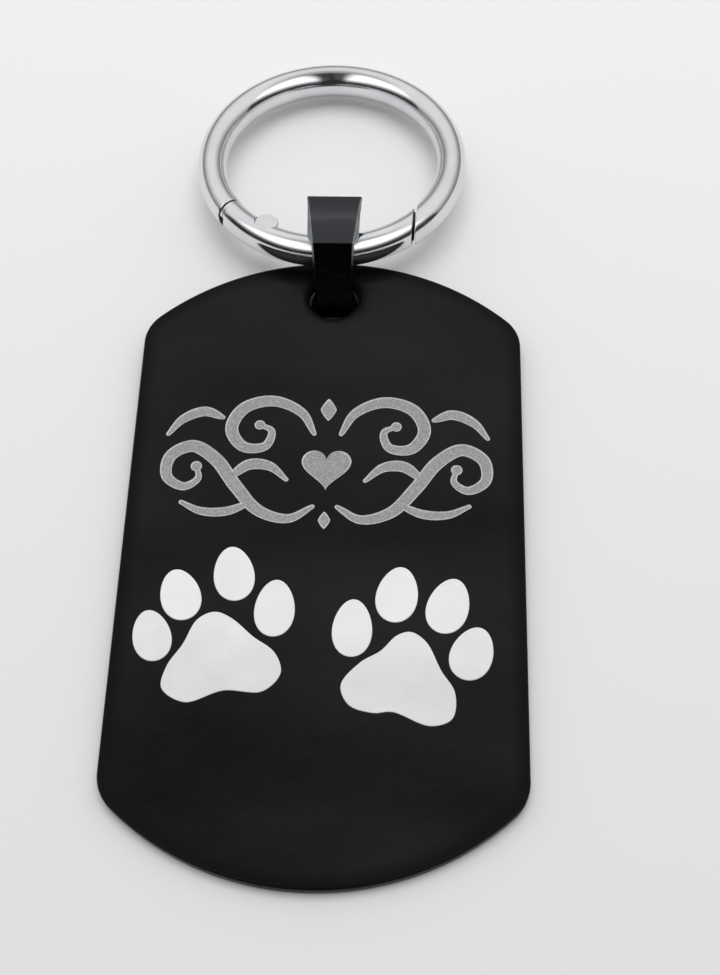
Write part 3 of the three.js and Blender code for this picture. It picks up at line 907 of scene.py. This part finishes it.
def bail_stations(outer, inner):
    """Pairs of outer and inner points round the loop, with extra ones along its straight sides."""
    rounds = [max(r - BAIL_THICKNESS, BAIL_LEAST_ROUND) for r in BAIL_ROUNDS]
    outside = corner_arcs(outer, BAIL_ROUNDS)
    inside = corner_arcs(inner, rounds)
    pairs = []
    for i in range(len(outside)):
        pairs += list(zip(outside[i], inside[i]))
        after = (i + 1) % len(outside)
        for k in range(1, BAND_STEPS):
            share = k / BAND_STEPS
            pairs.append((
                outside[i][-1].lerp(outside[after][0], share),
                inside[i][-1].lerp(inside[after][0], share),
            ))
    return pairs


def facet_width(point, outer):
    """The width of the sloped facet beside the band's outer face."""
    _, top, crease, _ = outer
    if point.y < crease.y - CREASE_TOLERANCE:
        return BAIL_CHAMFER
    share = (point.x - crease.x) / (top.x - crease.x)
    face = taper(share, ((0, CREASE_WIDTH), (1, TOP_WIDTH)))
    return max((taper(share, FLANGE_WIDTHS) - face) / 2, 0) + BAIL_CHAMFER / 2


def band_section(outside, inside, outer_half, inner_half, facet):
    """A loop of points round the band at one station: a rectangle with a facet beside its outer face."""
    depth = max(facet * FACET_SLOPE, BAIL_CHAMFER / 2)
    fall = BAIL_CHAMFER / BAIL_THICKNESS
    right = [(facet, 0), (0, depth / BAIL_THICKNESS), (0, 1 - fall), (BAIL_CHAMFER, 1)]
    points = []
    for sign, half in ((1, right), (-1, right[::-1])):
        for x, share in half:
            middle = outside.lerp(inside, share)
            width = outer_half + (inner_half - outer_half) * share
            points.append((sign * (width - x), middle.x, middle.y))
    return points


def bail_coat(place, height):
    """Which coat a face has, from its place round the band's section and its height."""
    # Inner faces and the sides below the plate take the coat painted near black as shade
    if place in INNER_FACES or (place in SIDE_FACES and height < PLATE_THICKNESS):
        return SHADED_COAT
    if place in FACET_FACES and height > PLATE_THICKNESS:
        return PALE_FACET_COAT
    return GLOSS_COAT


def bail_piece(materials):
    outer, inner = side_corners(BAIL_THICKNESS), side_corners(0)
    bm = bmesh.new()
    rows = []
    for outside, inside in bail_stations(outer, inner):
        facet = facet_width(outside, outer)
        spread = max(facet - BAIL_CHAMFER, 0)
        outer_half = bail_width(outside, outer, inner, SOLE_OUTER) / 2 + spread
        inner_half = bail_width(inside, outer, inner, SOLE_INNER) / 2 + spread
        rows.append(add_loop(bm, band_section(outside, inside, outer_half, inner_half, facet)))
    for row, after in zip(rows, rows[1:] + rows[:1]):
        bridge(bm, row, after)
    for i, face in enumerate(bm.faces):
        face.material_index = bail_coat(i % len(rows[0]), face.calc_center_median().z)
    bail = new_object("bail_loop_smooth", bm, materials)
    return finish_piece(bail, "bail_loop", "bail", smooth_degrees=15)


# Ring, in its own frame: centre on the origin, axis along Z, near side towards -Y


def ring_frame():
    return Matrix.Translation(RING_CENTRE) @ Matrix.Rotation(-math.radians(RING_TILT), 4, "X")


def seam_angle(radius, gap):
    """The angle, in radians, where the seam's face crosses a radius."""
    return math.radians(SEAM_ANGLE) - math.asin(gap / radius)


def tip_angle(radius, gap):
    """The angle, in radians, where the free end's face crosses a radius."""
    reach = (TIP_X + TIP_SLOPE * RING_RADIUS + gap) / (radius * math.hypot(1, TIP_SLOPE))
    return 2 * math.pi - math.acos(reach) - math.atan(TIP_SLOPE)


def tube_section(radial, axial, shrink):
    """(radius, height) round the tube, a hair inside the solid's facets."""
    shrink += TUBE_SHY
    angles = [2 * math.pi * i / TUBE_STEPS for i in range(TUBE_STEPS)]
    return [
        (RING_RADIUS + (radial / 2 - shrink) * math.cos(a), (axial / 2 - shrink) * math.sin(a))
        for a in angles
    ]


def rounded_end(radius):
    """(distance from the end, shrink) of the first sections at a tube's rounded end."""
    angles = [math.pi / 2 * i / RIM_STEPS for i in range(RIM_STEPS + 1)]
    return [(radius * (1 - math.cos(a)), radius * (1 - math.sin(a))) for a in angles]


def tube_mesh(radial, axial, start, end, start_steps, end_steps):
    """A closed stretch of the ring between two angle functions, with shaped ends."""
    rows = [("start", d, s) for d, s in start_steps]
    margin = max(d for d, _ in start_steps) + END_MARGIN
    end_margin = max(d for d, _ in end_steps) + END_MARGIN
    span = end(RING_RADIUS) - start(RING_RADIUS)
    count = int(math.degrees(span) / RING_STEP_DEGREES)
    rows += [("middle", i / count, 0) for i in range(count + 1)]
    rows += [("end", d, s) for d, s in end_steps[::-1]]
    bm = bmesh.new()
    loops = []
    for kind, place, shrink in rows:
        loop = []
        for radius, height in tube_section(radial, axial, shrink):
            first, last = start(radius), end(radius)
            if kind == "start":
                a = first + place / radius
            elif kind == "end":
                a = last - place / radius
            else:
                low, high = first + margin / radius, last - end_margin / radius
                a = low + (high - low) * place
            loop.append((radius * math.cos(a), radius * math.sin(a), height))
        loops.append(add_loop(bm, loop))
    for low, high, (_, _, shrink), (_, _, next_shrink) in zip(loops, loops[1:], rows, rows[1:]):
        bridge(bm, low, high, CUT_FACE if max(shrink, next_shrink) >= NOSE_INSET else 0)
    for loop in (loops[0][::-1], loops[-1]):
        bm.faces.new(loop).material_index = CUT_FACE
    return bm


def pin_centre():
    a = math.radians(PIN_ANGLE)
    return (RING_RADIUS - PIN_INSET) * math.cos(a), (RING_RADIUS - PIN_INSET) * math.sin(a)


def lathe(profile):
    """A solid round the pin's axis through (radius, height) points."""
    bm = bmesh.new()
    closed_stack(bm, [at_height(circle(*pin_centre(), r, LATHE_STEPS), z) for r, z in profile])
    return bm


def ring_stretch(inner, outer, start, end, low, high):
    """A block of the ring between two radii, two angles in degrees and two heights."""
    a, b = math.radians(start), math.radians(end)
    loop = arc(0, 0, outer, a, b, STRETCH_STEPS) + arc(0, 0, inner, b, a, STRETCH_STEPS)
    bm = bmesh.new()
    closed_stack(bm, [at_height(loop, low), at_height(loop, high)])
    return bm


def span_of(length):
    """The angle, in degrees, of a length along the ring's middle line."""
    return math.degrees(length / RING_RADIUS)


def rivet_profile(clearance, top):
    """(radius, height) of a rivet with a countersunk head at each end."""
    rim = BOSS_TOP - PIN_HEAD_RIM
    head = PIN_HEAD_RADIUS + clearance
    upper = [(PIN_RADIUS + clearance, rim - PIN_HEAD_TAPER), (head, rim), (head, top)]
    return [(r, -z) for r, z in upper[::-1]] + upper


def rivet_hole():
    return lathe(rivet_profile(PIN_CLEARANCE, TUBE_AXIAL))


def channel_outer():
    return RING_RADIUS + TUBE_RADIAL / 2 - CHANNEL_WALL


def ring_body_piece(materials):
    bm = tube_mesh(
        TUBE_RADIAL, TUBE_AXIAL,
        lambda r: tip_angle(r, TIP_GAP) - 2 * math.pi,
        lambda r: seam_angle(r, SEAM_GAP),
        rounded_end(EDGE_BREAK), rounded_end(RIM_ROUND),
    )
    body = new_object("ring_body_smooth", bm, materials)
    outer = channel_outer() - TONGUE_BACK_GAP
    high = TONGUE_LOW + TONGUE_THICKNESS
    heel = SEAM_ANGLE - span_of(TONGUE_ROOT_LENGTH)
    root_end = SEAM_ANGLE + span_of(TONGUE_ROOT_LENGTH)
    lug = ring_stretch(outer - TONGUE_HEIGHT, outer, heel, PIN_ANGLE, TONGUE_LOW, high)
    root = ring_stretch(outer - TONGUE_ROOT_HEIGHT, outer, heel, root_end, TONGUE_LOW, -TONGUE_LOW)
    eye = lathe([(TONGUE_EYE_RADIUS, TONGUE_LOW), (TONGUE_EYE_RADIUS, high)])
    for tool in (lug, root, eye):
        combine(body, new_object("tongue", tool, materials), "UNION")
    combine(body, new_object("pin_hole", rivet_hole(), materials), "DIFFERENCE")
    return finish_piece(body, "ring_body", "ring", ring_frame())


def gate_seam_steps():
    """The gate's hinge end: a rounded rim, then a fine groove along it."""
    return [*rounded_end(EDGE_BREAK), *GATE_GROOVE]


def hinge_notch():
    """The gap at the gate's hinge end, outside and low down, that lets it turn."""
    start = SEAM_ANGLE - NOTCH_OVERLAP_DEGREES
    end = SEAM_ANGLE + span_of(NOTCH_LENGTH)
    bm = ring_stretch(NOTCH_INNER, NOTCH_INNER + TUBE_RADIAL, start, end, -TUBE_AXIAL, NOTCH_TOP)
    for face in bm.faces:
        face.material_index = CUT_FACE
    return bm


def gate_tip_steps():
    """The gate's free end: a nose that all but fills the gap, then the tube's own edge."""
    return [(-NOSE_LENGTH, NOSE_INSET), (0, NOSE_INSET)] + rounded_end(EDGE_BREAK)


def ring_gate_piece(materials):
    bm = tube_mesh(
        TUBE_RADIAL - 2 * GATE_STEP, TUBE_AXIAL - 2 * GATE_STEP,
        lambda r: seam_angle(r, 0),
        lambda r: tip_angle(r, 0),
        gate_seam_steps(), gate_tip_steps(),
    )
    gate = new_object("ring_gate_smooth", bm, materials)
    boss = [
        (BOSS_RADIUS - BOSS_ROUND, -BOSS_TOP),
        (BOSS_RADIUS, BOSS_ROUND - BOSS_TOP),
        (BOSS_RADIUS, BOSS_TOP - BOSS_ROUND),
        (BOSS_RADIUS - BOSS_ROUND, BOSS_TOP),
    ]
    for low, high in ((BOSS_TOP - BOSS_ROUND, TUBE_AXIAL), (-TUBE_AXIAL, BOSS_ROUND - BOSS_TOP)):
        spot_face = lathe([(BOSS_RADIUS, low), (BOSS_RADIUS, high)])
        combine(gate, new_object("spot_face", spot_face, materials), "DIFFERENCE")
    combine(gate, new_object("boss", lathe(boss), materials), "UNION")
    channel = ring_stretch(
        RING_RADIUS - CHANNEL_REACH, channel_outer(),
        SEAM_ANGLE - span_of(CHANNEL_WALL), PIN_ANGLE + span_of(CHANNEL_LENGTH),
        -CHANNEL_WIDTH / 2, CHANNEL_WIDTH / 2,
    )
    combine(gate, new_object("channel", channel, materials), "DIFFERENCE")
    combine(gate, new_object("notch", hinge_notch(), materials), "DIFFERENCE")
    combine(gate, new_object("pin_hole", rivet_hole(), materials), "DIFFERENCE")
    return finish_piece(gate, "ring_gate", "gate", ring_frame())


def hinge_pin_piece(material):
    pin = new_object("gate_hinge_pin_smooth", lathe(rivet_profile(PIN_SET, BOSS_TOP)), [material])
    return finish_piece(pin, "gate_hinge_pin", "gate", ring_frame())


# Stage: the sky's ramps have (place, brightness) stops, and each of its edges fades between two places.
# The floor's size and the lamp's are in metres.

SKY_BACK = ((0.0, 0.22), (0.2, 0.28), (0.35, 0.5), (0.55, 0.76), (0.85, 0.82), (0.97, 0.45), (1.0, 0.35))
SKY_FRONT = ((0.0, 0.01), (0.33, 0.04), (0.5, 0.5), (0.62, 1.3), (0.8, 1.4), (1.0, 1.4))
SKY_MIDDLE = ((0.0, 0.01), (0.4, 0.02), (0.6, 0.02), (0.85, 0.02), (1.0, 0.03))
SKY_OPEN = ((0.0, 0.22), (1.0, 0.94))
SKY_OPEN_EDGE = (-0.6, 0.05)
SKY_OPEN_LOW = (0.0, 0.2)
SKY_BACKDROP = ((0.0, 0.93), (0.3, 1.0))
SKY_EDGE = (0.03, -0.05)
SKY_MIDDLE_EDGE = (0.26, 0.13)
SKY_STRENGTH = 0.84
SKY_GLOSS = 0.31
LAMP_TOWARDS = (0.05, 0.22, 0.97)
LAMP_DISTANCE = 2.5
LAMP_SIZE = 2
LAMP_POWER = 26.5
FLOOR_NEAR = (-24.75, -0.005)
FLOOR_SLOPE = -0.0166
FLOOR_SIZE = 6
# Span along Y over which painted shade greys the floor towards the camera
FLOOR_SHADE_SPAN = (-20, 90)


def floor_material():
    """Pale card, with painted shade that makes it a little greyer towards the camera."""
    material, tree, shader = new_material("pale card", roughness=0.8, metallic=0, specular=0.2)
    place = share_along(tree, "Y", FLOOR_SHADE_SPAN)
    paint(tree, shader, ramp(tree, place, (0, grey(0.79)), (1, grey(0.93))))
    vary_roughness(tree, shader, noise(tree, 6, 3), 0.75, 0.85)
    add_bump(tree, shader, noise(tree, 0.6, 3), height=0.02, strength=0.15)
    return material


def floor_piece():
    bm = bmesh.new()
    half = FLOOR_SIZE / 2
    corners = [(-half, -half, 0), (half, -half, 0), (half, half, 0), (-half, half, 0)]
    bm.faces.new(add_loop(bm, corners))
    floor = new_object("floor", bm, [floor_material()])
    floor.location = (0, FLOOR_NEAR[0] * MM, FLOOR_NEAR[1] * MM)
    floor.rotation_euler = (math.atan(FLOOR_SLOPE), 0, 0)


def studio_sky():
    """Gloss shows a tent that is white in front but for its dark middle, and grey behind.

    An open sky lights everything else, and the camera sees a plain backdrop.
    """
    world = bpy.context.scene.world or bpy.data.worlds.new("studio")
    bpy.context.scene.world = world
    world.use_nodes = True
    tree = world.node_tree
    parts = tree.nodes.new("ShaderNodeSeparateXYZ")
    tree.links.new(tree.nodes.new("ShaderNodeTexCoord").outputs["Generated"], parts.inputs[0])
    aside = calculate(tree, "ABSOLUTE", parts.outputs["X"])
    height = parts.outputs["Z"]
    front = grey_ramp(tree, height, SKY_FRONT)
    middle = grey_ramp(tree, height, SKY_MIDDLE)
    front = blend_colours(tree, soft_step(tree, aside, *SKY_MIDDLE_EDGE), front, middle)
    back = grey_ramp(tree, height, SKY_BACK)
    tent = blend_colours(tree, soft_step(tree, parts.outputs["Y"], *SKY_EDGE), back, front)
    behind = soft_step(tree, parts.outputs["Y"], *SKY_OPEN_EDGE)
    above = soft_step(tree, height, *SKY_OPEN_LOW)
    open_sky = grey_ramp(tree, calculate(tree, "MULTIPLY", behind, above), SKY_OPEN)
    rays = tree.nodes.new("ShaderNodeLightPath").outputs
    gloss = rays["Is Glossy Ray"]
    lit = blend_colours(tree, gloss, open_sky, tent)
    backdrop = grey_ramp(tree, height, SKY_BACKDROP)
    background = tree.nodes["Background"]
    tree.links.new(blend_colours(tree, rays["Is Camera Ray"], lit, backdrop), background.inputs["Color"])
    strength = calculate(tree, "ADD", calculate(tree, "MULTIPLY", gloss, SKY_GLOSS), SKY_STRENGTH)
    tree.links.new(strength, background.inputs["Strength"])


def studio_lamp():
    """A soft square lamp, high behind the tag. The metal shows the tent in its place."""
    data = bpy.data.lights.new("lamp", "AREA")
    data.size = LAMP_SIZE
    data.energy = LAMP_POWER
    lamp = bpy.data.objects.new("lamp", data)
    bpy.context.scene.collection.objects.link(lamp)
    towards = Vector(LAMP_TOWARDS).normalized()
    lamp.location = towards * LAMP_DISTANCE
    lamp.rotation_euler = towards.to_track_quat("Z", "Y").to_euler()
    lamp.visible_glossy = False


CAMERA_PLACE = (5.8221, -48.4569, 101.1556)
CAMERA_LOOK = (-0.029, 0.46811, -0.8832)
CAMERA_UP = (-0.01631, 0.88323, 0.46866)
CAMERA_LENS = 57.2555
CAMERA_SENSOR = 36
CAMERA_NEAR = 1


def camera():
    data = bpy.data.cameras.new("camera")
    data.lens = CAMERA_LENS
    data.sensor_width = CAMERA_SENSOR
    data.clip_start = CAMERA_NEAR * MM
    obj = bpy.data.objects.new("camera", data)
    bpy.context.scene.collection.objects.link(obj)
    back = -Vector(CAMERA_LOOK).normalized()
    right = Vector(CAMERA_UP).cross(back).normalized()
    up = back.cross(right)
    turn = Matrix((right, up, back)).transposed().to_4x4()
    obj.matrix_world = Matrix.Translation(Vector(CAMERA_PLACE) * MM) @ turn
    bpy.context.scene.camera = obj


# Assembly

prints = print_loops()
plate_piece(list(prints.values()), [coated_steel(), engraved_floor(), engraved_rim()])
enamel = white_enamel()
for print_name, print_loop in prints.items():
    enamel_piece(print_name, print_loop, enamel)
bail_piece([black_bail(), pale_facet_coat(), painted_shade_coat()])
metal = chrome()
ring_metals = [metal, cut_metal_seam_shade()]
ring_body_piece(ring_metals)
ring_gate_piece(ring_metals)
hinge_pin_piece(metal)
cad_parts["gate_spring"].material_slots[0].material = spring_steel()

floor_piece()
studio_sky()
studio_lamp()
camera()
bpy.context.scene.view_settings.view_transform = "Standard"
